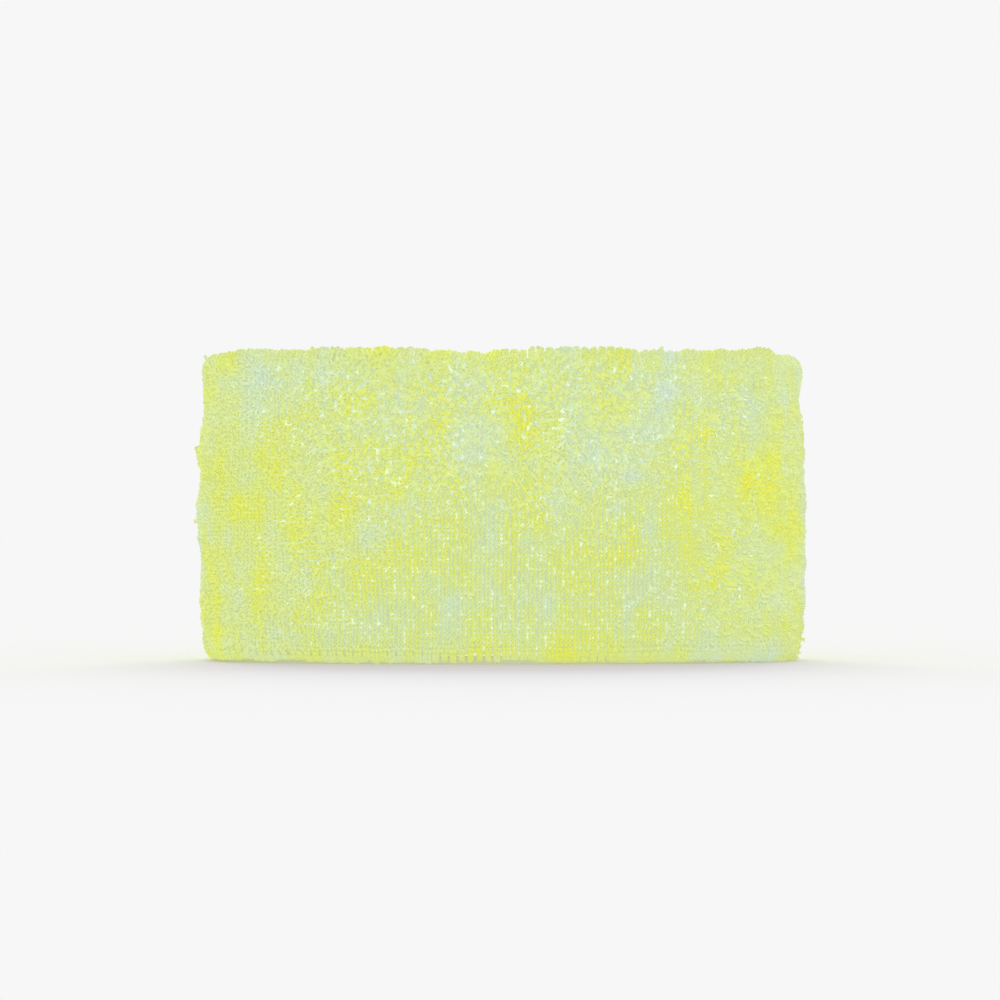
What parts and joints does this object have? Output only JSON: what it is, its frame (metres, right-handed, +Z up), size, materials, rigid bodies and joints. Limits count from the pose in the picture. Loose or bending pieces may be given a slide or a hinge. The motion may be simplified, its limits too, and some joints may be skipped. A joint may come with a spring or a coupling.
{
  "type": "sweat wristband",
  "caption": "Stretch terry sweat wristband: an open oval tube with a folded double wall, soft loops inside and out, and an overlocked seam round the inside.",
  "frame": {"origin": "on the floor under the middle of the band, in the plane of the lower rim that it stands on", "axes": "+X across the band, along the long axis of its open oval; -Y towards its front; +Z up, along the tube that the wrist passes through"},
  "size_m": [0.0924, 0.0406, 0.0474],
  "materials": {
    "cotton_pile": "matt looped cotton pile, dyed neon yellow",
    "nylon_ground": "fine plain knit of textured nylon, pale, with a faint sheen",
    "covered_rubber": "rubber thread with a spiral covering of white nylon",
    "sewing_thread": "spun polyester overlock thread, neon yellow"
  },
  "bodies": {
    "root": {"terry_pile": "cotton_pile", "ground_knit": "nylon_ground", "elastic_thread_outer_1": "covered_rubber", "elastic_thread_outer_2": "covered_rubber", "elastic_thread_outer_3": "covered_rubber", "elastic_thread_outer_4": "covered_rubber", "elastic_thread_outer_5": "covered_rubber", "elastic_thread_outer_6": "covered_rubber", "elastic_thread_inner_1": "covered_rubber", "elastic_thread_inner_2": "covered_rubber", "elastic_thread_inner_3": "covered_rubber", "elastic_thread_inner_4": "covered_rubber", "elastic_thread_inner_5": "covered_rubber", "elastic_thread_inner_6": "covered_rubber", "seam_needle_thread": "sewing_thread", "seam_upper_looper_thread": "sewing_thread", "seam_lower_looper_thread": "sewing_thread"}
  },
  "joints": []
}
